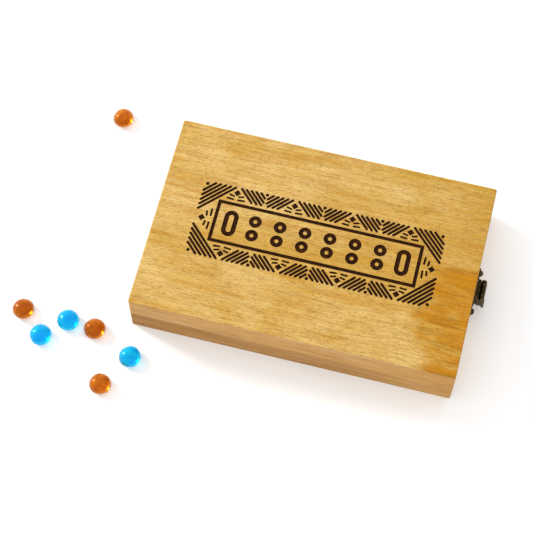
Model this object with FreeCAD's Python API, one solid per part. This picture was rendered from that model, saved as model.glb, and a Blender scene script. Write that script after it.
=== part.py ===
"""Folding mancala board, closed, with seven loose glass stones lying beside it.

Two solid wooden halves lie face to face. Each has six round pits and one long store cut into its
inner face. Two butt hinges join them at the -X end, so the upper half swings over and lies flat,
and a hasp at the +X end keeps the board shut. The upper half's outer face has a burnt-in ornament.

Millimetres. +Z is up, +X points from the hinges to the hasp, and the origin is the centre of the
lower half's bottom face. Each named piece goes to parts/NODE.step.
"""
import FreeCAD, Part    # FreeCAD has to be imported first
import math
import os

from FreeCAD import Rotation, Vector

# Wooden halves
LENGTH = 228.0
WIDTH = 146.0
HALF_THICKNESS = 20.0
CORNER_R = 1.5          # upright corners
FACE_EDGE_R = 0.8       # edges of the outer faces
SEAM_EDGE_R = 0.7       # edges of the two inner faces
SEAM_Z = HALF_THICKNESS
TOP_Z = 2 * HALF_THICKNESS
HINGE_END = -LENGTH / 2
HASP_END = LENGTH / 2

# Pits and stores
PIT_R = 24.0
PIT_DEPTH = 12.0
PIT_PITCH = 54.0
FIRST_PIT = 29.0        # from the hinge end to the first pit's centre
PIT_ROW_Y = 33.5
STORE_R = 23.5
STORE_DEPTH = 12.0
STORE_LENGTH = 112.0
STORE_X = HASP_END - 10.0 - STORE_R
RIM_R = 0.8             # rounding of the pits' rims

# Butt hinges
HINGE_Y = 42.0
HINGE_WIDTH = 24.0
LEAF_HEIGHT = 10.5
LEAF_THICK = 1.0
KNUCKLE_R = 1.6
KNUCKLES = 5
HINGE_PIN_R = 0.8
FOLD_X = HINGE_END - KNUCKLE_R - 0.1
LEAF_SCREW_Y = 7.0      # from the hinge's middle
LEAF_SCREW_Z = 6.3      # from the fold axis

# Hasp and its two plates
PLATE_THICK = 1.2
PLATE_FACE = HASP_END + PLATE_THICK
PLATE_EDGE_R = 0.5
HASP_KNUCKLE_R = 1.8
HASP_PIN_R = 0.8
HASP_AXIS_X = HASP_END + 5.4
HASP_AXIS_Z = SEAM_Z + 7.0
HASP_THICK = 1.0
HASP_CHEEK = 0.9        # thickness of its folded sides
HASP_KNUCKLE_HALF = 4.0  # the hasp's own knuckle, half its length
BARREL_HALF = 7.4       # outer ends of the upper plate's two knuckles
BARREL_GAP = 0.3        # between the hasp's knuckle and the plate around it
FOOT_HALF = 6.2         # ledge under the barrel, inside the hasp's folded sides
FOOT_THICK = 1.0
CHEEK_LOW = HASP_AXIS_Z - 9.5
CATCH_HALF = 2.6
CATCH_REACH = 5.2       # from the end face
UPPER_NAIL = (10.6, SEAM_Z + 11.0)
LOWER_NAIL = (10.6, SEAM_Z - 8.0)

# Fits
PIN_CLEARANCE = 0.05    # pins in their knuckles
SCREW_CLEARANCE = 0.04  # screws and nails in their holes
KNUCKLE_GAP = 0.2       # between neighbouring knuckles

# Burnt ornament, in the plane of the upper half's outer face
BURN_DEPTH = 0.5
ORNAMENT_Y = 1.2        # it sits a little off the middle
STROKE = 1.9
DASH = 1.5
DOT_R = 1.25
FRAME_X = 73.6          # outer half sizes of the cartouche's frame
FRAME_Y = 16.4
FRAME_LINE = 2.5
BAND_X = 86.0           # outer half sizes of the hatched border
BAND_Y = 28.0
MOTIF_PITCH = 41.4      # between neighbouring small diamonds of the border
HATCH_STEP = 3.5

# Glass stones: (x, y, diameter) on the table, all clear of where the opened half lands
STONE_HEIGHT = 9.0
AMBER_STONES = [
    (-165.0, 82.5, 15.2),
    (-190.5, -82.0, 15.4),
    (-137.6, -84.2, 15.4),
    (-122.2, -122.6, 15.4),
]
BLUE_STONES = [
    (-157.5, -82.5, 15.8),
    (-172.9, -97.8, 15.6),
    (-107.9, -98.3, 15.6),
]

X_AXIS = Vector(1, 0, 0)
Y_AXIS = Vector(0, 1, 0)
Z_AXIS = Vector(0, 0, 1)


def box(low, high):
    """Block between two opposite corners."""
    size = [h - l for l, h in zip(low, high)]
    return Part.makeBox(*size, Vector(*low))


def rod(radius, start, end):
    """Cylinder between two points."""
    path = Vector(*end) - Vector(*start)
    return Part.makeCylinder(radius, path.Length, Vector(*start), path)


def arc(start, middle, end):
    return Part.Arc(Vector(*start), Vector(*middle), Vector(*end)).toShape()


def line(start, end):
    return Part.LineSegment(Vector(*start), Vector(*end)).toShape()


def solid_of_revolution(edges, centre, axis):
    face = Part.Face(Part.Wire(edges))
    return face.revolve(Vector(*centre), axis, 360)


def turned(points):
    """Solid turned about X from (x, radius) points that start and end on the axis."""
    corners = [(x, 0, radius) for x, radius in points]
    edges = [line(a, b) for a, b in zip(corners, corners[1:])]
    edges.append(line(corners[-1], corners[0]))
    return solid_of_revolution(edges, (0, 0, 0), X_AXIS)


# ---------------------------------------------------------------- wooden halves

def rounded_block():
    """One half's block, lying with its inner face up at the seam."""
    block = box((HINGE_END, -WIDTH / 2, 0), (HASP_END, WIDTH / 2, HALF_THICKNESS))
    upright = [e for e in block.Edges if abs(e.tangentAt(e.FirstParameter).z) > 0.9]
    block = block.makeFillet(CORNER_R, upright)
    block = block.makeFillet(FACE_EDGE_R, edges_at(block, 0))
    return block.makeFillet(SEAM_EDGE_R, edges_at(block, HALF_THICKNESS))


def edges_at(shape, height):
    return [e for e in shape.Edges if all(abs(v.Z - height) < 1e-6 for v in e.Vertexes)]


def bowl_radius(mouth_radius, depth):
    """Radius of the sphere whose cap has this mouth radius and depth."""
    return (mouth_radius ** 2 + depth ** 2) / (2 * depth)


def pit_centres():
    first = HINGE_END + FIRST_PIT
    return [(first + i * PIT_PITCH, side * PIT_ROW_Y) for i in range(3) for side in (-1, 1)]


def pit_tool(x, y):
    radius = bowl_radius(PIT_R, PIT_DEPTH)
    return Part.makeSphere(radius, Vector(x, y, SEAM_Z - PIT_DEPTH + radius))


def store_tool():
    """Trough with a round section and round ends."""
    radius = bowl_radius(STORE_R, STORE_DEPTH)
    height = SEAM_Z - STORE_DEPTH + radius
    reach = STORE_LENGTH / 2 - STORE_R
    trough = rod(radius, (STORE_X, -reach, height), (STORE_X, reach, height))
    for y in (-reach, reach):
        trough = trough.fuse(Part.makeSphere(radius, Vector(STORE_X, y, height)))
    return trough.removeSplitter()


def rim_edges(shape):
    """Edges where the pits and the store meet the inner face."""
    inside = LENGTH / 2 - CORNER_R
    flat = edges_at(shape, SEAM_Z)
    found = []
    for edge in flat:
        limits = edge.BoundBox
        if max(abs(limits.XMin), abs(limits.XMax)) < inside and limits.YLength < WIDTH - 10:
            found.append(edge)
    return found


def wooden_half():
    block = rounded_block()
    for x, y in pit_centres():
        block = block.cut(pit_tool(x, y))
    block = block.cut(store_tool())
    return block.makeFillet(RIM_R, rim_edges(block))


def turned_over(shape):
    """The same piece on the other side of the seam, turned about the board's long axis."""
    copy = shape.copy()
    copy.rotate(Vector(0, 0, SEAM_Z), X_AXIS, 180)
    return copy


# ---------------------------------------------------------------- screws and nails

def screw(grow=0.0):
    """Countersunk wood screw with its flat head at x = 0, driven towards +X."""
    head, shank, length = 2.0 + grow, 1.0 + grow, 8.5 + grow
    points = [(0, 0), (0, head), (LEAF_THICK, shank), (length - 2.0, shank), (length, 0)]
    body = turned(points)
    if grow:
        return body
    slot = box((-1, -0.25, -3), (0.35, 0.25, 3))
    return body.cut(slot)


def nail(grow=0.0):
    """Dome-headed nail whose head sits on x = 0, driven towards -X."""
    shank, length = 0.8 + grow, 9.0 + grow
    points = [(0, 0), (0, shank), (1.5 - length, shank), (-length, 0)]
    body = turned(points)
    if grow:
        return body
    dome_r, dome_h = 2.3, 2.0
    sphere_r = bowl_radius(dome_r, dome_h)
    half_way = math.asin(dome_r / sphere_r) / 2
    middle = (dome_h - sphere_r + sphere_r * math.cos(half_way), 0,
              sphere_r * math.sin(half_way))
    edges = [
        line((0, 0, 0), (0, 0, dome_r)),
        arc((0, 0, dome_r), middle, (dome_h, 0, 0)),
        line((dome_h, 0, 0), (0, 0, 0)),
    ]
    return body.fuse(solid_of_revolution(edges, (0, 0, 0), X_AXIS)).removeSplitter()


def moved(shape, x, y, z):
    copy = shape.copy()
    copy.translate(Vector(x, y, z))
    return copy


def leaf_screw_places(hinge_y):
    """Screw heads in the lower leaf of the hinge at this y."""
    x = HINGE_END - LEAF_THICK
    z = SEAM_Z - LEAF_SCREW_Z
    return [(x, hinge_y - LEAF_SCREW_Y, z), (x, hinge_y + LEAF_SCREW_Y, z)]


def nail_places(spot):
    y, z = spot
    return [(PLATE_FACE, -y, z), (PLATE_FACE, y, z)]


def group(maker, places, grow=0.0):
    return Part.makeCompound([moved(maker(grow), *place) for place in places])


# ---------------------------------------------------------------- hinges

def knuckle_spans(hinge_y):
    """(start, end, on the lower leaf) of each knuckle along y."""
    step = (HINGE_WIDTH + KNUCKLE_GAP) / KNUCKLES
    start = hinge_y - HINGE_WIDTH / 2
    return [(start + i * step, start + (i + 1) * step - KNUCKLE_GAP, i % 2 == 0)
            for i in range(KNUCKLES)]


def hinge_leaf(hinge_y, lower):
    """Leaf below the fold axis, with every other knuckle, lower leaf first."""
    back, face = HINGE_END, HINGE_END - LEAF_THICK
    top = SEAM_Z - KNUCKLE_R - 0.3
    edge = HINGE_WIDTH / 2
    leaf = box((face, hinge_y - edge, SEAM_Z - LEAF_HEIGHT), (back, hinge_y + edge, top))
    corners = [e for e in leaf.Edges
               if abs(e.tangentAt(e.FirstParameter).x) > 0.9 and e.Vertexes[0].Z < top - 1]
    leaf = leaf.makeFillet(1.5, corners)
    for start, end, on_lower in knuckle_spans(hinge_y):
        if on_lower == lower:
            tab = box((face, start, top - 0.5), (back, end, SEAM_Z))
            roll = rod(KNUCKLE_R, (FOLD_X, start, SEAM_Z), (FOLD_X, end, SEAM_Z))
            leaf = leaf.fuse(tab).fuse(roll)
    reach = HINGE_WIDTH
    bore = rod(HINGE_PIN_R + PIN_CLEARANCE, (FOLD_X, hinge_y - reach, SEAM_Z),
               (FOLD_X, hinge_y + reach, SEAM_Z))
    leaf = leaf.cut(bore).removeSplitter()
    return leaf.cut(group(screw, leaf_screw_places(hinge_y), SCREW_CLEARANCE))


def hinge_pin(hinge_y):
    """Pin with a riveted head at each end."""
    reach = HINGE_WIDTH / 2 + PIN_CLEARANCE
    head = 0.5
    pin = rod(HINGE_PIN_R, (FOLD_X, hinge_y - reach, SEAM_Z), (FOLD_X, hinge_y + reach, SEAM_Z))
    for side in (-1, 1):
        inner = hinge_y + side * reach
        pin = pin.fuse(rod(1.35, (FOLD_X, inner, SEAM_Z), (FOLD_X, inner + side * head, SEAM_Z)))
    return pin.removeSplitter()


# ---------------------------------------------------------------- hasp

def disc(y, z, radius):
    return rod(radius, (HASP_END, y, z), (PLATE_FACE, y, z))


def panel(half_width, low, high):
    return box((HASP_END, -half_width, low), (PLATE_FACE, half_width, high))


def scalloped_plate(panels, lobes):
    """Stamped plate from panels (half width, low, high) and lobes (y, z, radius) on both sides."""
    plate = panel(*panels[0])
    for sizes in panels[1:]:
        plate = plate.fuse(panel(*sizes))
    for y, z, radius in lobes:
        plate = plate.fuse(disc(y, z, radius))
        if y:
            plate = plate.fuse(disc(-y, z, radius))
    plate = plate.removeSplitter()
    edges = [e for e in plate.Edges if all(abs(v.X - PLATE_FACE) < 1e-6 for v in e.Vertexes)]
    return plate.makeFillet(PLATE_EDGE_R, edges)


def hasp_rod(radius, start, end):
    """Cylinder on the hasp's axis."""
    return rod(radius, (HASP_AXIS_X, start, HASP_AXIS_Z), (HASP_AXIS_X, end, HASP_AXIS_Z))


def hasp_bore():
    return hasp_rod(HASP_PIN_R + PIN_CLEARANCE, -3 * BARREL_HALF, 3 * BARREL_HALF)


def barrel_seat():
    """Swelling of the upper plate behind and under the barrel, clear of the hasp's knuckle."""
    front = HASP_AXIS_X - HASP_KNUCKLE_R - BARREL_GAP
    low, high = HASP_AXIS_Z - HASP_KNUCKLE_R, HASP_AXIS_Z + HASP_KNUCKLE_R
    seat = box((HASP_END, -BARREL_HALF, low), (front, BARREL_HALF, high))
    edges = [e for e in seat.Edges if all(abs(v.X - front) < 1e-6 for v in e.Vertexes)
             and any(v.Z > HASP_AXIS_Z for v in e.Vertexes)]
    seat = seat.makeFillet(0.8, edges)
    ledge = low - BARREL_GAP
    back = box((HASP_END, -FOOT_HALF, ledge - FOOT_THICK), (front, FOOT_HALF, low))
    foot = box((HASP_END, -FOOT_HALF, ledge - FOOT_THICK), (HASP_AXIS_X - 0.8, FOOT_HALF, ledge))
    return seat.fuse(back).fuse(foot)


def latch_plate():
    """Scalloped plate on the upper half, with the two knuckles that carry the hasp."""
    nail_y, nail_z = UPPER_NAIL
    plate = scalloped_plate(
        [(7.6, SEAM_Z + 2.0, nail_z + 2.0), (nail_y, nail_z - 2.2, nail_z + 2.2)],
        [(0, nail_z + 1.6, 4.4), (nail_y, nail_z, 3.6), (7.0, SEAM_Z + 4.8, 2.8)])
    plate = plate.fuse(barrel_seat())
    web_low = HASP_AXIS_Z - HASP_KNUCKLE_R
    inner = HASP_KNUCKLE_HALF + KNUCKLE_GAP
    for start, end in ((-BARREL_HALF, -inner), (inner, BARREL_HALF)):
        web = box((HASP_END, start, web_low - BARREL_GAP), (HASP_AXIS_X, end, web_low + 0.9))
        plate = plate.fuse(web).fuse(hasp_rod(HASP_KNUCKLE_R, start, end))
    plate = plate.cut(hasp_bore()).removeSplitter()
    return plate.cut(group(nail, nail_places(UPPER_NAIL), SCREW_CLEARANCE))


def latch_pin():
    reach = BARREL_HALF + PIN_CLEARANCE
    pin = hasp_rod(HASP_PIN_R, -reach, reach)
    for side in (-1, 1):
        pin = pin.fuse(hasp_rod(1.3, side * reach, side * (reach + 0.4)))
    return pin.removeSplitter()


def hasp_lines():
    """Outer and inner face of the hasp's strip, seen along y, as (outward, up) from its axis.

    The strip leaves the knuckle's front, hangs over the seam and the catch, and curls out into
    a finger lip.
    """
    middle = [(1.2, 0.3), (1.75, -2.6), (1.8, -6.5), (1.35, -11.0), (0.95, -15.0),
              (1.4, -18.6), (2.9, -21.4)]
    lines = ([], [])
    for i, (x, z) in enumerate(middle):
        before = middle[max(i - 1, 0)]
        after = middle[min(i + 1, len(middle) - 1)]
        dx, dz = after[0] - before[0], after[1] - before[1]
        half = HASP_THICK / 2 / math.hypot(dx, dz)
        for side, points in zip((1, -1), lines):
            points.append(Vector(HASP_AXIS_X + x - side * half * dz, 0,
                                 HASP_AXIS_Z + z + side * half * dx))
    return lines


def hasp_strip(width):
    """The strip at its full width."""
    outer, inner = hasp_lines()
    curves = []
    for points in (outer, inner):
        curve = Part.BSplineCurve()
        curve.interpolate(points)
        curves.append(curve.toShape())
    start = Part.LineSegment(inner[0], outer[0]).toShape()
    end = Part.LineSegment(outer[-1], inner[-1]).toShape()
    face = Part.Face(Part.Wire([curves[0], end, curves[1], start]))
    face.translate(Vector(0, -width / 2, 0))
    return face.extrude(Vector(0, width, 0))


def hasp_outline():
    """The hasp seen from the front, as a block that trims the strip to its waisted shape."""
    low = HASP_AXIS_Z - 21.9
    half = [(HASP_KNUCKLE_HALF, HASP_AXIS_Z + 1.2), (HASP_KNUCKLE_HALF, HASP_AXIS_Z - 2.5),
            (BARREL_HALF, HASP_AXIS_Z - 2.5), (BARREL_HALF, CHEEK_LOW - 0.3),
            (5.6, HASP_AXIS_Z - 13.5), (3.3, HASP_AXIS_Z - 17.0), (3.3, low)]
    points = half + [(-y, z) for y, z in reversed(half)]
    corners = [Vector(HASP_END, y, z) for y, z in points]
    block = Part.Face(Part.makePolygon(corners + corners[:1])).extrude(Vector(20, 0, 0))
    outer = [e for e in block.Edges if abs(e.tangentAt(e.FirstParameter).x) > 0.9
             and e.Vertexes[0].Z < HASP_AXIS_Z - 2]
    outer = [e for e in outer if abs(e.Vertexes[0].Y) > HASP_KNUCKLE_HALF + 0.1
             or e.Vertexes[0].Z < HASP_AXIS_Z - 3]
    return block.makeFillet(1.3, outer)


def hasp_cheek(side):
    """Folded side that closes the gap between the strip and the end face."""
    outer = HASP_AXIS_X + 1.5
    inner = PLATE_FACE + 0.8
    high = HASP_AXIS_Z - 3.0
    profile = [(outer, high), (inner + 0.8, high), (inner, high - 0.8), (inner, CHEEK_LOW + 1.6),
               (inner + 1.6, CHEEK_LOW), (outer, CHEEK_LOW)]
    start = side * BARREL_HALF - (HASP_CHEEK if side > 0 else 0)
    corners = [Vector(x, start, z) for x, z in profile]
    face = Part.Face(Part.makePolygon(corners + corners[:1]))
    return face.extrude(Vector(0, HASP_CHEEK, 0))


def hasp():
    strip = hasp_strip(3 * BARREL_HALF).common(hasp_outline())
    for side in (-1, 1):
        strip = strip.fuse(hasp_cheek(side))
    knuckle = hasp_rod(HASP_KNUCKLE_R, -HASP_KNUCKLE_HALF, HASP_KNUCKLE_HALF)
    return strip.fuse(knuckle).cut(hasp_bore()).removeSplitter()


def catch_plate():
    """Scalloped plate on the lower half, with the bent tongue that the hasp closes over."""
    nail_y, nail_z = LOWER_NAIL
    plate = scalloped_plate(
        [(6.4, nail_z - 4.0, SEAM_Z - 2.4), (nail_y, nail_z - 2.2, nail_z + 2.2)],
        [(0, nail_z - 4.2, 4.2), (nail_y, nail_z, 3.6), (5.6, SEAM_Z - 4.4, 2.6)])
    low, tip = nail_z - 0.6, HASP_END + CATCH_REACH
    shelf = box((HASP_END, -CATCH_HALF, low), (tip, CATCH_HALF, low + 1.0))
    hook = box((tip - 1.0, -CATCH_HALF, low), (tip, CATCH_HALF, low + 2.6))
    tongue = shelf.fuse(hook).removeSplitter()
    bend = [e for e in tongue.Edges if abs(e.tangentAt(e.FirstParameter).y) > 0.9
            and abs(e.Vertexes[0].X - tip) < 1e-6]
    plate = plate.fuse(tongue.makeFillet(0.45, bend)).removeSplitter()
    return plate.cut(group(nail, nail_places(LOWER_NAIL), SCREW_CLEARANCE))


# ---------------------------------------------------------------- burnt ornament

def prism(face):
    return face.extrude(Vector(0, 0, 2 * BURN_DEPTH))


def burn_z():
    return TOP_Z - BURN_DEPTH


def polygon(points):
    corners = [Vector(x, y + ORNAMENT_Y, burn_z()) for x, y in points]
    return Part.Face(Part.makePolygon(corners + corners[:1]))


def stroke(start, end, width=STROKE):
    """Straight groove with round ends."""
    (x0, y0), (x1, y1) = start, end
    length = math.hypot(x1 - x0, y1 - y0)
    r = width / 2
    a = Vector(0, -r, 0)
    edges = [
        line((0, -r, 0), (length, -r, 0)),
        arc((length, -r, 0), (length + r, 0, 0), (length, r, 0)),
        line((length, r, 0), (0, r, 0)),
        arc((0, r, 0), (-r, 0, 0), (0, -r, 0)),
    ]
    face = Part.Face(Part.Wire(edges))
    face.rotate(Vector(0, 0, 0), Z_AXIS, math.degrees(math.atan2(y1 - y0, x1 - x0)))
    face.translate(Vector(x0, y0 + ORNAMENT_Y, burn_z()))
    return prism(face)


def round_mark(x, y, radius):
    face = Part.Face(Part.Wire(Part.makeCircle(radius, Vector(x, y + ORNAMENT_Y, burn_z()))))
    return prism(face)


def diamond(x, y, half):
    return prism(polygon([(x - half, y), (x, y - half), (x + half, y), (x, y + half)]))


def mirrored_marks(marks, across_x, across_y):
    """The marks and their mirror images across the ornament's own axes."""
    centre = Vector(0, ORNAMENT_Y, 0)
    result = list(marks)
    if across_x:
        result += [m.mirror(centre, X_AXIS) for m in result]
    if across_y:
        result += [m.mirror(centre, Y_AXIS) for m in result]
    return result


def hatched_wedge(centre_x):
    """Slanted strokes on one side of a border wedge that narrows towards the cartouche."""
    outer, inner = BAND_Y, FRAME_Y + 2.6
    marks = []
    for i in range(5):
        run = min(outer - inner, 4.4 + i * HATCH_STEP - 1.2)
        start_x = centre_x + 4.4 + i * HATCH_STEP
        marks.append(stroke((start_x, outer), (start_x - run, outer - run)))
    return marks


def border_motif(x):
    """Small diamond over two pairs of dashes, between two wedges."""
    y = FRAME_Y + 7.6
    marks = [diamond(x, y, 2.6)]
    for side in (-1, 1):
        marks.append(stroke((x + side * 1.8, y - 2.7), (x + side * 4.7, y - 2.0), DASH))
        marks.append(stroke((x + side * 1.9, y - 5.2), (x + side * 5.9, y - 4.9), DASH))
    return marks


def end_motif():
    """The border's motif at the ornament's +X end."""
    x = BAND_X - 4.2
    marks = [diamond(x, 0, 2.6)]
    for side in (-1, 1):
        marks.append(stroke((x - 3.0, side * 2.4), (x - 2.6, side * 5.3), DASH))
        marks.append(stroke((x - 5.8, side * 2.8), (x - 5.6, side * 7.6), DASH))
    return marks


def corner_hatching():
    """Slanted strokes across the border's +X +Y corner."""
    marks = [round_mark(BAND_X - 1.6, BAND_Y - 1.6, DOT_R)]
    for i in range(5):
        run = 7.2 + i * 3.62
        marks.append(stroke((BAND_X - run, BAND_Y), (BAND_X, BAND_Y - run)))
    return marks


def ring(x, y, outer, inner):
    return round_mark(x, y, outer).cut(round_mark(x, y, inner))


def long_ring(x, half_length, outer, inner):
    """Upright ring with straight sides, for a store."""
    reach = half_length - outer
    ends = ((x, -reach), (x, reach))
    return stroke(*ends, width=2 * outer).cut(stroke(*ends, width=2 * inner))


def board_pictogram():
    """A mancala board seen from above: two rows of six pits between two stores."""
    marks = [ring(8.9 * (2 * i + 1), 5.4, 4.5, 1.4) for i in range(3)]
    marks = mirrored_marks(marks, True, True)
    store = long_ring(61.4, 10.0, 5.0, 1.7)
    return marks + mirrored_marks([store], True, False)


def frame_mark():
    """The cartouche's line."""
    def rectangle(x, y):
        return prism(polygon([(-x, -y), (x, -y), (x, y), (-x, y)]))

    return rectangle(FRAME_X, FRAME_Y).cut(
        rectangle(FRAME_X - FRAME_LINE, FRAME_Y - FRAME_LINE))


def ornament():
    """Every burnt mark as one compound of separate cutters."""
    side = []
    for centre_x in (0, MOTIF_PITCH):
        side += hatched_wedge(centre_x)
    side += [m.mirror(Vector(MOTIF_PITCH, 0, 0), X_AXIS) for m in hatched_wedge(MOTIF_PITCH)]
    side += border_motif(MOTIF_PITCH / 2) + border_motif(3 * MOTIF_PITCH / 2)
    side += [round_mark(MOTIF_PITCH, BAND_Y - 0.3, DOT_R)]
    side += corner_hatching()
    marks = mirrored_marks(side, True, True)
    marks += mirrored_marks([round_mark(0, BAND_Y - 0.3, DOT_R)], False, True)
    marks += mirrored_marks(end_motif(), True, False)
    marks += board_pictogram() + [frame_mark()]
    return Part.makeCompound(marks)


# ---------------------------------------------------------------- stones

def stone(x, y, diameter):
    """Flat-bottomed glass stone resting on the table."""
    r, h = diameter / 2, STONE_HEIGHT
    foot, shoulder = 0.6 * r, h / 3
    dome = (r ** 2 + shoulder ** 2 - h ** 2) / (2 * (shoulder - h))
    dome_r = h - dome
    half_way = math.asin(r / dome_r) / 2
    edges = [
        line((0, 0, 0), (foot, 0, 0)),
        arc((foot, 0, 0), (0.9 * r, 0, 0.3 * shoulder), (r, 0, shoulder)),
        arc((r, 0, shoulder),
            (dome_r * math.sin(half_way), 0, dome + dome_r * math.cos(half_way)), (0, 0, h)),
        line((0, 0, h), (0, 0, 0)),
    ]
    return moved(solid_of_revolution(edges, (0, 0, 0), Z_AXIS), x, y, 0)


# ---------------------------------------------------------------- assembly

def build():
    """Every node of the board, by name."""
    nodes = {}
    half = wooden_half()
    lower_holes, upper_holes = [], []
    for name, y in (("front", -HINGE_Y), ("rear", HINGE_Y)):
        screws = group(screw, leaf_screw_places(y))
        holes = group(screw, leaf_screw_places(y), SCREW_CLEARANCE)
        lower_holes.append(holes)
        upper_holes.append(turned_over(holes))
        nodes[f"{name}_hinge_lower_leaf"] = hinge_leaf(y, lower=True)
        nodes[f"{name}_hinge_lower_screws"] = screws
        nodes[f"{name}_hinge_pin"] = hinge_pin(y)
        opposite = -y
        nodes[f"{name}_hinge_upper_leaf"] = turned_over(hinge_leaf(opposite, lower=False))
        nodes[f"{name}_hinge_upper_screws"] = turned_over(
            group(screw, leaf_screw_places(opposite)))
    nodes["latch_plate"] = latch_plate()
    nodes["latch_plate_nails"] = group(nail, nail_places(UPPER_NAIL))
    nodes["latch_pin"] = latch_pin()
    nodes["latch_hasp"] = hasp()
    nodes["catch_plate"] = catch_plate()
    nodes["catch_plate_nails"] = group(nail, nail_places(LOWER_NAIL))
    lower_holes.append(group(nail, nail_places(LOWER_NAIL), SCREW_CLEARANCE))
    upper_holes.append(group(nail, nail_places(UPPER_NAIL), SCREW_CLEARANCE))
    nodes["lower_half"] = half.cut(Part.makeCompound(lower_holes))
    nodes["upper_half"] = turned_over(half).cut(Part.makeCompound(upper_holes)).cut(ornament())
    for colour, places in (("amber", AMBER_STONES), ("blue", BLUE_STONES)):
        for number, (x, y, diameter) in enumerate(places, 1):
            nodes[f"{colour}_stone_{number}"] = stone(x, y, diameter)
    return nodes


def main():
    os.makedirs("parts", exist_ok=True)
    for name, shape in build().items():
        if not shape.isValid():
            raise ValueError(f"{name} is not a valid shape")
        shape.exportStep(f"parts/{name}.step")
        print(f"{name}: {len(shape.Solids)} solids, {shape.Volume:.1f} mm3")


main()
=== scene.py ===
"""Looks of the folding mancala board: lacquered maple with a burnt ornament, a bronze hasp,
brass hinges and seven glass stones."""
import math
import random

import bmesh
import bpy
from mathutils import Matrix, Vector


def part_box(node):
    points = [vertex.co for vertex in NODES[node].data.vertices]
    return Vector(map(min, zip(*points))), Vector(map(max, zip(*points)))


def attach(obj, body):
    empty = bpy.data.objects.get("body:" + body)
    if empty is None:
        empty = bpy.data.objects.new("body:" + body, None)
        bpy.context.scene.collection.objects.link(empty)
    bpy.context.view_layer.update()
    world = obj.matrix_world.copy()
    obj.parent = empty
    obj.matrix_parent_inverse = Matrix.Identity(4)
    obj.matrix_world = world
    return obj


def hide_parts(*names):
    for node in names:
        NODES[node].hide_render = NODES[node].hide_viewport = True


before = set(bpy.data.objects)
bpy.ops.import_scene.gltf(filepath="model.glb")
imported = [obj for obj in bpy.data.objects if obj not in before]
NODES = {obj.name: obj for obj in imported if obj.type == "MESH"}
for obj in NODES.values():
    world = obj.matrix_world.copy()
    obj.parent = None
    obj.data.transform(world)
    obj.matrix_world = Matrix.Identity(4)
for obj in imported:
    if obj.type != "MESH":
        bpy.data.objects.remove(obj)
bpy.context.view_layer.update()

MM = 0.001
TOP_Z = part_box("upper_half")[1].z
SEAM_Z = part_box("lower_half")[1].z

# Camera
CAMERA_PLACE = (0.08548, -0.47577, 1.07644)
CAMERA_AZIMUTH = 14.19
CAMERA_ELEVATION = 65.81
CAMERA_LENS = 111.62
CAMERA_SENSOR = 36.0

# Light
WHITE = (1.0, 1.0, 1.0)
WORLD_STRENGTH = 1.03
KEY_PLACE = (-2.04, 0.60, 1.10)
KEY_SIZE = (0.42, 0.66)
KEY_POWER = 36.0

# Floor
FLOOR_HALF = 3.0
FLOOR_Z = -0.2 * MM    # just under the object, so the two faces never flicker
FLOOR_COLOUR = (0.93, 0.93, 0.93)
FLOOR_GLOW = 0.10      # evens out the shadows, as a lit table does


# ---------------------------------------------------------------- shader helpers

# Sockets of a Mix node that mixes colours
MIX_A, MIX_B, MIX_RESULT = 6, 7, 2


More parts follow.
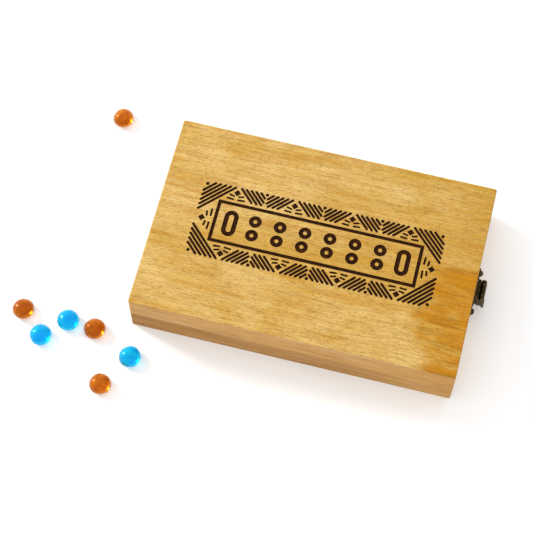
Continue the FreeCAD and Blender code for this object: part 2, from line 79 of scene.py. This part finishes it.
class Shader:
    """A node material with one Principled surface."""

    def __init__(self, name):
        self.material = bpy.data.materials.new(name)
        self.material.use_nodes = True
        self.tree = self.material.node_tree
        self.tree.nodes.clear()
        self.surface = self.add("ShaderNodeBsdfPrincipled")
        output = self.add("ShaderNodeOutputMaterial")
        self.tree.links.new(self.surface.outputs[0], output.inputs[0])
        coordinates = self.add("ShaderNodeTexCoord")
        self.place = coordinates.outputs["Object"]
        self.normal = coordinates.outputs["Normal"]

    def add(self, kind, **settings):
        node = self.tree.nodes.new(kind)
        for key, value in settings.items():
            setattr(node, key, value)
        return node

    def feed(self, socket, value):
        """Link a socket, or set its own value where nothing varies."""
        if isinstance(value, bpy.types.NodeSocket):
            self.tree.links.new(value, socket)
        elif isinstance(value, (tuple, list)) and len(value) == 3 and socket.type == "RGBA":
            socket.default_value = (*value, 1.0)
        else:
            socket.default_value = value

    def set(self, name, value):
        self.feed(self.surface.inputs[name], value)

    def math(self, operation, a, b=0.0, clamp=False):
        node = self.add("ShaderNodeMath", operation=operation, use_clamp=clamp)
        self.feed(node.inputs[0], a)
        self.feed(node.inputs[1], b)
        return node.outputs[0]

    def plus(self, a, b, clamp=False):
        return self.math("ADD", a, b, clamp)

    def minus(self, a, b):
        return self.math("SUBTRACT", a, b)

    def absolute(self, value):
        return self.math("ABSOLUTE", value)

    def product(self, *values):
        result = values[0]
        for value in values[1:]:
            result = self.math("MULTIPLY", result, value)
        return result

    def step(self, value, low, high, out_low=0.0, out_high=1.0):
        """Smooth step from low to high, or backwards where low is the greater."""
        node = self.add("ShaderNodeMapRange", interpolation_type="SMOOTHSTEP")
        for socket, number in zip(node.inputs, (value, low, high, out_low, out_high)):
            self.feed(socket, number)
        return node.outputs[0]

    def inside(self, value, half, soft):
        """One where |value| is below half, fading to zero over soft."""
        return self.step(self.absolute(value), half, half + soft, 1.0, 0.0)

    def axes(self, vector=None):
        node = self.add("ShaderNodeSeparateXYZ")
        self.feed(node.inputs[0], vector or self.place)
        return node.outputs

    def noise(self, cells, offset=(0, 0, 0), detail=2.0, roughness=0.5, distortion=0.0):
        """Noise with this many cells per metre along X, Y and Z."""
        place = self.add("ShaderNodeMapping")
        self.feed(place.inputs["Vector"], self.place)
        place.inputs["Location"].default_value = offset
        place.inputs["Scale"].default_value = cells
        node = self.add("ShaderNodeTexNoise")
        self.feed(node.inputs["Vector"], place.outputs[0])
        node.inputs["Scale"].default_value = 1.0
        node.inputs["Detail"].default_value = detail
        node.inputs["Roughness"].default_value = roughness
        node.inputs["Distortion"].default_value = distortion
        return node.outputs["Fac"]

    def mix(self, factor, a, b):
        node = self.add("ShaderNodeMix", data_type="RGBA", blend_type="MIX")
        self.feed(node.inputs[0], factor)
        self.feed(node.inputs[MIX_A], a)
        self.feed(node.inputs[MIX_B], b)
        return node.outputs[MIX_RESULT]

    def bump(self, height, distance, strength):
        node = self.add("ShaderNodeBump")
        node.inputs["Strength"].default_value = strength
        node.inputs["Distance"].default_value = distance
        self.feed(node.inputs["Height"], height)
        self.set("Normal", node.outputs[0])


# ---------------------------------------------------------------- wood

HONEY = (0.570, 0.348, 0.078)
PALE = (0.700, 0.475, 0.165)
GOLD = (0.530, 0.290, 0.030)
AMBER_STAIN = (0.500, 0.220, 0.010)
DEEP_STAIN = (0.510, 0.200, 0.003)
FLECK = (0.255, 0.108, 0.016)
SIDE_UPPER = (0.530, 0.280, 0.085)
SIDE_UPPER_WARM = (0.590, 0.345, 0.190)
SIDE_LOWER = (0.290, 0.122, 0.030)
SIDE_LOWER_WARM = (0.420, 0.200, 0.070)
END_GRAIN = (0.430, 0.235, 0.085)
PIT_TINT = (0.640, 0.400, 0.150)
BURNT = (0.018, 0.004, 0.0003)
BURNT_LIGHT = (0.046, 0.013, 0.001)

# Noises of the grain, which runs along X: cells per metre along X, Y and Z, shift along X,
# detail, roughness, distortion
GRAIN = {
    "wander": ((9, 2, 2), 0, 2.0, 0.5, 0.0),
    "uneven": ((14, 90, 90), 0, 3.0, 0.5, 0.0),
    "cloud": ((5, 12, 12), 3, 2.0, 0.5, 0.0),
    "patch": ((11, 24, 24), 0, 4.0, 0.62, 0.0),
    "figure": ((42, 58, 58), 0, 2.0, 0.55, 0.0),
    "swirl": ((26, 75, 75), 0, 3.0, 0.6, 1.2),
    "band": ((7, 160, 160), 0, 3.0, 0.6, 0.0),
    "streak": ((18, 260, 260), 0, 4.0, 0.7, 0.0),
    "fibre": ((60, 900, 900), 0, 3.0, 0.65, 0.0),
    "vessels": ((300, 1300, 1300), 0, 2.0, 0.6, 0.0),
    "pores": ((330, 2100, 2100), 0, 1.5, 0.5, 0.0),
}

# Layers of tone: the tone, its noise, where in the noise it begins and where it is full,
# and its strength
PORE_RANGE = (0.56, 0.66)
BASE_LAYERS = [
    (PALE, "patch", 0.38, 0.62, 1.00),
    (GOLD, "figure", 0.58, 0.34, 0.35),
    (GOLD, "cloud", 0.48, 0.64, 0.60),
]
STAIN_LAYERS = [
    (AMBER_STAIN, "swirl", 0.38, 0.56, 0.92),
    (FLECK, "swirl", 0.56, 0.70, 0.45),
    (FLECK, "streak", 0.52, 0.68, 0.75),
]
STREAK_LAYERS = [
    (AMBER_STAIN, "streak", 0.46, 0.74, 0.62),
    (PALE, "streak", 0.48, 0.22, 0.60),
]
DEEP_STAIN_LAYERS = [
    (DEEP_STAIN, "swirl", 0.28, 0.54, 0.62),
    (FLECK, "streak", 0.52, 0.68, 0.42),
]
FINE_LAYERS = [
    (FLECK, "fibre", 0.42, 0.74, 0.40),
    (FLECK, "pores", *PORE_RANGE, 0.60),
]
SIDE_LAYERS = [
    (FLECK, "streak", 0.50, 0.70, 0.35),
    (FLECK, "fibre", 0.48, 0.72, 0.22),
]

# Year rings
RINGS_PER_METRE = 300.0
RING_WANDER = 0.030            # metres sideways, as the grain runs along
RING_UNEVEN = 1.3              # rings
LATE_WOOD_BEGINS = (0.55, 0.98)    # shares of a ring's width
LATE_WOOD_ENDS = (1.0, 0.975)
RING_STRENGTH = 0.16
RING_STRENGTH_AT_END = 0.34    # added on the end grain

# Upright faces of the block
END_FACE = (0.55, 0.85)     # an end's normal lies along X
SIDE_FACE = (0.35, 0.75)    # a side's normal has no upright part
SIDE_STRENGTH = 0.74
SIDE_BANDS = (0.46, 0.66)
SIDE_LIGHT_X = (0.020, 0.095)    # both halves turn lighter towards the hasp
SIDE_LIGHT_STRENGTH = 0.8
STREAKS_LOST_AT_END = 0.75
END_TINT_STRENGTH = 0.45
END_RING_STRENGTH = 0.36
VESSEL_RANGE = (0.54, 0.68)
VESSEL_STRENGTH = 0.34

# Orange stain on the lid near the hasp's front corner, the paler wood around it, and painted
# light towards the lid's hinge end, on the lamp's side
STAIN_X = (0.074, 0.091)
STAIN_Y = (0.014, -0.008)
STAIN_WANDER_X = 0.075
STAIN_WANDER_Y = 0.060
PALE_FRONT_Y = (-0.008, -0.040)
# Painted light: the lid is painted lighter towards its hinge end, on the lamp's side
PAINTED_LIGHT_END_X = (-0.062, -0.108)
PAINTED_LIGHT_END_STRENGTH = 0.55
PALE_FIGURE = (0.30, 0.62, 0.30, 0.80)    # range of the noise, then least and most

# Pits and stores, a little lighter than the faces they are cut into
HOLLOW_HALF = (0.111, 0.070)     # half sizes of the area that holds them
HOLLOW_DEPTH = 12.5 * MM
HOLLOW_DEPTH_FADE = 0.3 * MM
HOLLOW_RIM = (0.6 * MM, 4.0 * MM)
HOLLOW_STRENGTH = 0.35

# Burnt ornament
BURN_DEPTH = 0.5 * MM
BURN_RIM = (0.16 * MM, 0.02 * MM)    # below the lid's face, where the scorch fades out
BURN_FLOOR = (2.0 * BURN_DEPTH, 1.4 * BURN_DEPTH)    # no scorch deeper in the block
ORNAMENT_HALF = (0.0885, 0.0305)
SCORCH_CELLS = (420, 420, 420)
SCORCH_RANGE = (0.35, 0.75)
SCORCH_ROUGHNESS = 0.25     # added to the wood's

AREA_FADE = 1.0 * MM
WOOD_SPECULAR = 0.08
WOOD_ROUGHNESS = (0.3, 0.8, 0.40, 0.58)    # range of the fibre noise, then least and most
WOOD_BUMP = (0.06 * MM, 0.5)    # height, strength
FIBRE_HEIGHT = 0.5
PORE_DEPTH = 0.8
SCORCH_HEIGHT = 0.8

# Each half: material, offset of its grain in the noises, pith as the (y, z) of its log's
# centre, tone of its sides, warmer tone of their bands, and whether it has the ornament
HALVES = {
    "lower_half": ("maple_lower", (0.7, 0.2, 0.4), (0.030, -0.085),
                   SIDE_LOWER, SIDE_LOWER_WARM, False),
    "upper_half": ("maple_upper", (0.1, 0.9, 0.3), (0.020, -0.060),
                   SIDE_UPPER, SIDE_UPPER_WARM, True),
}


class Wood(Shader):
    """Lacquered maple with its grain along X. Its offset gives each block its own grain."""

    def __init__(self, name, offset):
        super().__init__(name)
        self.offset = offset
        self.noises = {}
        self.colour = HONEY
        self.x, self.y, self.z = self.axes()
        x_normal, _, upright = self.axes(self.normal)
        self.end = self.step(self.absolute(x_normal), *END_FACE)
        self.side = self.step(self.absolute(upright), *SIDE_FACE, 1.0, 0.0)
        self.along = self.minus(1.0, self.product(self.end, STREAKS_LOST_AT_END))

    def grain(self, kind):
        """The noise of this kind, made when it is first asked for."""
        if kind not in self.noises:
            cells, shift, detail, roughness, distortion = GRAIN[kind]
            offset = (self.offset[0] + shift, self.offset[1], self.offset[2])
            self.noises[kind] = self.noise(cells, offset, detail, roughness, distortion)
        return self.noises[kind]

    def paint(self, tone, *amounts):
        """Lay a tone over the colour, by the product of the amounts."""
        self.colour = self.mix(self.product(*amounts), self.colour, tone)

    def paint_layers(self, layers, *where):
        for tone, kind, begins, full, strength in layers:
            self.paint(tone, *where, self.step(self.grain(kind), begins, full), strength)

    def late_wood(self, pith):
        """Dark part of each year ring about the pith."""
        wander = self.product(self.minus(self.grain("wander"), 0.5), RING_WANDER)
        across = self.plus(self.minus(self.y, pith[0]), wander)
        depth = self.minus(self.z, pith[1])
        radius = self.math("SQRT", self.plus(self.product(across, across),
                                             self.product(depth, depth)))
        ring = self.math("FRACT", self.plus(self.product(radius, RINGS_PER_METRE),
                                            self.product(self.grain("uneven"), RING_UNEVEN)))
        return self.product(self.step(ring, *LATE_WOOD_BEGINS),
                            self.step(ring, *LATE_WOOD_ENDS))

    def stain_zone(self):
        """Where the lid is stained. The edges wander with the wood's patches."""
        wander = self.minus(self.grain("patch"), 0.5)
        edge = self.plus(self.x, self.product(wander, STAIN_WANDER_X))
        far = self.plus(self.y, self.product(wander, STAIN_WANDER_Y))
        return self.product(self.step(edge, *STAIN_X), self.step(far, *STAIN_Y))

    def paint_pale_front_and_light_end(self, stained):
        """Paler wood along the lid's front, outside the stain, and painted light at its hinge
        end, where the lamp stands.
        """
        front = self.product(self.step(self.y, *PALE_FRONT_Y), self.minus(1.0, stained))
        # Painted light: lighter towards the hinge end, where the lamp falls
        left = self.step(self.x, *PAINTED_LIGHT_END_X, 0.0, PAINTED_LIGHT_END_STRENGTH)
        figure = self.step(self.grain("figure"), *PALE_FIGURE)
        self.paint(PALE, self.math("MAXIMUM", front, left), figure)

    def paint_sides(self, side_tint, side_warm):
        tint = self.mix(self.step(self.grain("band"), *SIDE_BANDS), side_tint, side_warm)
        lighter = self.product(self.step(self.x, *SIDE_LIGHT_X), SIDE_LIGHT_STRENGTH)
        self.paint(self.mix(lighter, tint, SIDE_UPPER), self.side, SIDE_STRENGTH)
        self.paint_layers(SIDE_LAYERS, self.side, self.along)

    def paint_ends(self, late_wood):
        self.paint(END_GRAIN, self.end, END_TINT_STRENGTH)
        vessels = self.step(self.grain("vessels"), *VESSEL_RANGE, 0.0, VESSEL_STRENGTH)
        cut_ends = self.plus(self.product(late_wood, END_RING_STRENGTH), vessels)
        self.paint(FLECK, self.end, cut_ends)

    def paint_hollows(self):
        depth = self.minus(self.z, SEAM_Z)
        self.paint(PIT_TINT, self.inside(depth, HOLLOW_DEPTH, HOLLOW_DEPTH_FADE),
                   self.step(self.absolute(depth), *HOLLOW_RIM),
                   self.inside(self.x, HOLLOW_HALF[0], AREA_FADE),
                   self.inside(self.y, HOLLOW_HALF[1], AREA_FADE), HOLLOW_STRENGTH)

    def burn(self):
        """Scorch the ornament's grooves. Returns where they are, and the scorch's noise."""
        scorch = self.noise(SCORCH_CELLS, detail=3.0)
        rim_low, rim_high = (TOP_Z - below for below in BURN_RIM)
        floor_low, floor_high = (TOP_Z - below for below in BURN_FLOOR)
        burnt = self.product(
            self.step(self.z, rim_low, rim_high, 1.0, 0.0),
            self.step(self.z, floor_low, floor_high),
            self.inside(self.x, ORNAMENT_HALF[0], AREA_FADE),
            self.inside(self.y, ORNAMENT_HALF[1], AREA_FADE))
        self.paint(self.mix(self.step(scorch, *SCORCH_RANGE), BURNT, BURNT_LIGHT), burnt)
        return burnt, scorch


def wood(name, offset, pith, side_tint, side_warm, ornament):
    """Wood of one half of the board. The half with the ornament is also the stained one."""
    s = Wood(name, offset)
    late_wood = s.late_wood(pith)
    s.paint_layers(BASE_LAYERS)
    if ornament:
        stained = s.stain_zone()
        s.paint_pale_front_and_light_end(stained)
        s.paint_layers(STAIN_LAYERS, stained)
    s.paint(FLECK, late_wood, s.plus(RING_STRENGTH, s.product(s.end, RING_STRENGTH_AT_END)))
    s.paint_layers(STREAK_LAYERS, s.along)
    if ornament:
        s.paint_layers(DEEP_STAIN_LAYERS, stained)
    s.paint_layers(FINE_LAYERS)
    s.paint_sides(side_tint, side_warm)
    s.paint_ends(late_wood)
    s.paint_hollows()

    fibre, pores = s.grain("fibre"), s.step(s.grain("pores"), *PORE_RANGE)
    roughness = s.step(fibre, *WOOD_ROUGHNESS)
    height = s.minus(s.product(fibre, FIBRE_HEIGHT), s.product(pores, PORE_DEPTH))
    if ornament:
        burnt, scorch = s.burn()
        roughness = s.plus(roughness, s.product(burnt, SCORCH_ROUGHNESS))
        height = s.plus(height, s.product(burnt, scorch, SCORCH_HEIGHT))

    s.set("Base Color", s.colour)
    s.set("Roughness", roughness)
    s.set("Specular IOR Level", WOOD_SPECULAR)
    s.bump(height, *WOOD_BUMP)
    return s.material


# ---------------------------------------------------------------- metal

BRONZE_DARK = (0.034, 0.022, 0.010)
BRONZE_RUBBED = (0.500, 0.310, 0.110)
BRONZE_PATINA = (0.030, 0.045, 0.030)
BRONZE_ROUGHNESS = 0.36
BRASS_DARK = (0.230, 0.150, 0.060)
BRASS_RUBBED = (0.640, 0.480, 0.230)
BRASS_ROUGHNESS = 0.34

EDGE_RADIUS = 0.45 * MM         # how far from an edge the metal is rubbed
EDGE_TURN = (0.80, 0.985)       # cosine between the real and the rounded normal
EDGE_STRENGTH = 0.75
BLOTCH_CELLS = (480, 480, 480)
BLOTCH_RANGE = (0.50, 0.76)
BLOTCH_STRENGTH = 0.40
GRIT_CELLS = (1500, 1500, 1500)
PATINA_RANGE = (0.55, 0.75)
PATINA_STRENGTH = 0.35
METAL_ROUGHNESS_RANGE = (0.3, 0.75)
METAL_ROUGHNESS_SPREAD = (0.14, -0.05)
GRIT_HEIGHT = 0.5
METAL_BUMP = (0.12 * MM, 0.7)   # height, strength


def metal(name, dark, bright, rough, patina=None):
    """Plated metal, darker in its hollows and rubbed bright along its edges."""
    s = Shader(name)
    bevel = s.add("ShaderNodeBevel", samples=6)
    bevel.inputs["Radius"].default_value = EDGE_RADIUS
    geometry = s.add("ShaderNodeNewGeometry")
    turn = s.add("ShaderNodeVectorMath", operation="DOT_PRODUCT")
    s.feed(turn.inputs[0], bevel.outputs[0])
    s.feed(turn.inputs[1], geometry.outputs["Normal"])
    edge = s.step(turn.outputs["Value"], *EDGE_TURN, 1.0, 0.0)
    blotch = s.noise(BLOTCH_CELLS, detail=4.0, roughness=0.7)
    grit = s.noise(GRIT_CELLS)
    rubbed = s.plus(s.product(edge, EDGE_STRENGTH),
                    s.step(blotch, *BLOTCH_RANGE, 0.0, BLOTCH_STRENGTH), clamp=True)
    colour = s.mix(rubbed, dark, bright)
    if patina:
        colour = s.mix(s.step(grit, *PATINA_RANGE, 0.0, PATINA_STRENGTH), colour, patina)
    s.set("Base Color", colour)
    s.set("Metallic", 1.0)
    most, least = (rough + more for more in METAL_ROUGHNESS_SPREAD)
    s.set("Roughness", s.step(blotch, *METAL_ROUGHNESS_RANGE, most, least))
    s.bump(s.plus(blotch, s.product(grit, GRIT_HEIGHT)), *METAL_BUMP)
    return s.material


# ---------------------------------------------------------------- glass stones

# Deep tone, light tone, tone of the reflections
AMBER = ((0.600, 0.165, 0.001), (0.860, 0.300, 0.001), (1.000, 0.320, 0.002))
BLUE = ((0.000, 0.560, 1.000), (0.001, 0.760, 1.000), (0.002, 0.500, 1.000))

SWIRL_CELLS = (90, 90, 140)
SWIRL_DISTORTION = 1.6
SWIRL_RANGE = (0.38, 0.66)
DIMPLE_CELLS = (150, 150, 150)
GLASS_ROUGHNESS = (0.3, 0.7, 0.22, 0.32)    # range of the dimple noise, then least and most
GLASS_BUMP = (0.30 * MM, 0.30)    # height, strength
GLASS_CONSTANTS = {
    "Transmission Weight": 0.84,
    "IOR": 1.44,
    "Specular IOR Level": 0.2,
    "Coat Weight": 0.38,
    "Coat IOR": 1.38,
    "Coat Roughness": 0.04,
}

STONE_RINGS = 36
STONE_SIDES = 72
STONE_FILL = 0.985          # of its box, so that the waves stay inside
STONE_LIFT = 0.02 * MM      # of its underside above the box's bottom
STONE_SHOULDER = 0.36       # height of the widest ring, as a share of the stone's
STONE_WAVES = (2, 3, 5)     # waves around its outline
STONE_WAVE_HEIGHT = (0.004, 0.013)
STONE_LEAN = 0.03
STONE_LEAN_LEVEL = 0.3      # the height that the lean leaves alone, as a share
UNDERSIDE_CURVE = (0.62, 1.5)    # powers that flatten the underside
DOME_CURVE = 0.92                # power that rounds the dome


def glass(name, deep, light, sheen):
    """Coloured glass, a little milky, with faint swirls of a lighter tone."""
    s = Shader(name)
    swirl = s.noise(SWIRL_CELLS, distortion=SWIRL_DISTORTION)
    s.set("Base Color", s.mix(s.step(swirl, *SWIRL_RANGE), deep, light))
    s.set("Specular Tint", sheen)
    for socket, value in GLASS_CONSTANTS.items():
        s.set(socket, value)
    dimple = s.noise(DIMPLE_CELLS, detail=1.0)
    s.set("Roughness", s.step(dimple, *GLASS_ROUGHNESS))
    s.bump(dimple, *GLASS_BUMP)
    return s.material


def stone_profile(turn):
    """Distance from the axis and height, as shares, at a turn from the underside's centre."""
    out, up = math.sin(turn), -math.cos(turn)
    if up < 0:
        narrow, flat = UNDERSIDE_CURVE
        return out ** narrow, STONE_SHOULDER * (1 - abs(up) ** flat)
    return out ** DOME_CURVE, STONE_SHOULDER + (1 - STONE_SHOULDER) * up


def stone(node, seed, material):
    """Poured glass stone in its node's box: a slightly uneven flat-bottomed drop."""
    low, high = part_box(node)
    centre = (low + high) / 2
    radius, height = (high.x - low.x) / 2, (high.z - low.z) * STONE_FILL
    rng = random.Random(seed)
    waves = [(k, rng.uniform(0, 2 * math.pi), rng.uniform(*STONE_WAVE_HEIGHT))
             for k in STONE_WAVES]
    lean = rng.uniform(0, 2 * math.pi)

    mesh = bmesh.new()
    rows = []
    for i in range(1, STONE_RINGS):
        out, level = stone_profile(math.pi * i / STONE_RINGS)
        row = []
        for j in range(STONE_SIDES):
            a = 2 * math.pi * j / STONE_SIDES
            uneven = STONE_FILL + sum(h * math.sin(k * a + p) for k, p, h in waves)
            reach = radius * out * min(uneven, 1.0)
            tilt = 1 + STONE_LEAN * (level - STONE_LEAN_LEVEL) * math.cos(a - lean)
            row.append(mesh.verts.new((centre.x + reach * math.cos(a),
                                       centre.y + reach * math.sin(a),
                                       low.z + STONE_LIFT + height * level * tilt)))
        rows.append(row)
    bottom = mesh.verts.new((centre.x, centre.y, low.z + STONE_LIFT))
    top = mesh.verts.new((centre.x, centre.y, low.z + height))
    for j in range(STONE_SIDES):
        k = (j + 1) % STONE_SIDES
        for lower, upper in zip(rows, rows[1:]):
            mesh.faces.new((lower[j], lower[k], upper[k], upper[j]))
        mesh.faces.new((bottom, rows[0][k], rows[0][j]))
        mesh.faces.new((top, rows[-1][j], rows[-1][k]))

    piece = new_piece(f"{node}_glass", mesh, material)
    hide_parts(node)
    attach(piece, node)


# ---------------------------------------------------------------- scene

def new_piece(name, mesh, material):
    data = bpy.data.meshes.new(name)
    mesh.to_mesh(data)
    mesh.free()
    data.polygons.foreach_set("use_smooth", [True] * len(data.polygons))
    data.materials.append(material)
    piece = bpy.data.objects.new(name, data)
    bpy.context.scene.collection.objects.link(piece)
    return piece


def dress(names, material):
    """Give CAD nodes a material. Their shapes stay as they are."""
    for name in names:
        data = NODES[name].data
        data.materials.clear()
        data.materials.append(material)


def make_camera():
    a, e = math.radians(CAMERA_AZIMUTH), math.radians(CAMERA_ELEVATION)
    back = Vector((math.sin(a) * math.cos(e), -math.cos(a) * math.cos(e), math.sin(e)))
    right = Vector((math.cos(a), math.sin(a), 0))
    up = back.cross(right)
    camera = bpy.data.objects.new("camera", bpy.data.cameras.new("camera"))
    camera.data.lens = CAMERA_LENS
    camera.data.sensor_width = CAMERA_SENSOR
    camera.matrix_world = Matrix.Translation(CAMERA_PLACE) @ Matrix(
        (right, up, back)).transposed().to_4x4()
    bpy.context.scene.collection.objects.link(camera)
    bpy.context.scene.camera = camera


def make_floor():
    mesh = bmesh.new()
    bmesh.ops.create_grid(mesh, x_segments=1, y_segments=1, size=FLOOR_HALF)
    s = Shader("floor")
    s.set("Base Color", FLOOR_COLOUR)
    s.set("Roughness", 0.9)
    s.set("Specular IOR Level", 0.1)
    s.set("Emission Color", WHITE)
    s.set("Emission Strength", FLOOR_GLOW)
    floor = new_piece("floor", mesh, s.material)
    floor.location.z = FLOOR_Z


def make_light():
    """An evenly white studio, and one panel behind and to the left."""
    world = bpy.data.worlds.new("studio")
    bpy.context.scene.world = world
    world.use_nodes = True
    background = world.node_tree.nodes["Background"]
    background.inputs["Color"].default_value = (*WHITE, 1.0)
    background.inputs["Strength"].default_value = WORLD_STRENGTH
    light = bpy.data.lights.new("key", "AREA")
    light.energy = KEY_POWER
    light.shape = "RECTANGLE"
    light.size, light.size_y = KEY_SIZE
    key = bpy.data.objects.new("key", light)
    key.location = KEY_PLACE
    key.rotation_euler = Vector(KEY_PLACE).to_track_quat("Z", "Y").to_euler()
    bpy.context.scene.collection.objects.link(key)


make_camera()
make_floor()
make_light()
bpy.context.scene.view_settings.view_transform = "Standard"

for half, look in HALVES.items():
    dress([half], wood(*look))
dress([n for n in NODES if n.startswith(("latch", "catch"))],
      metal("antique_bronze", BRONZE_DARK, BRONZE_RUBBED, BRONZE_ROUGHNESS, BRONZE_PATINA))
dress([n for n in NODES if "hinge" in n],
      metal("hinge_brass", BRASS_DARK, BRASS_RUBBED, BRASS_ROUGHNESS))

amber = glass("amber_glass", *AMBER)
blue = glass("blue_glass", *BLUE)
for seed, name in enumerate(sorted(n for n in NODES if "_stone_" in n)):
    stone(name, seed, amber if name.startswith("amber") else blue)
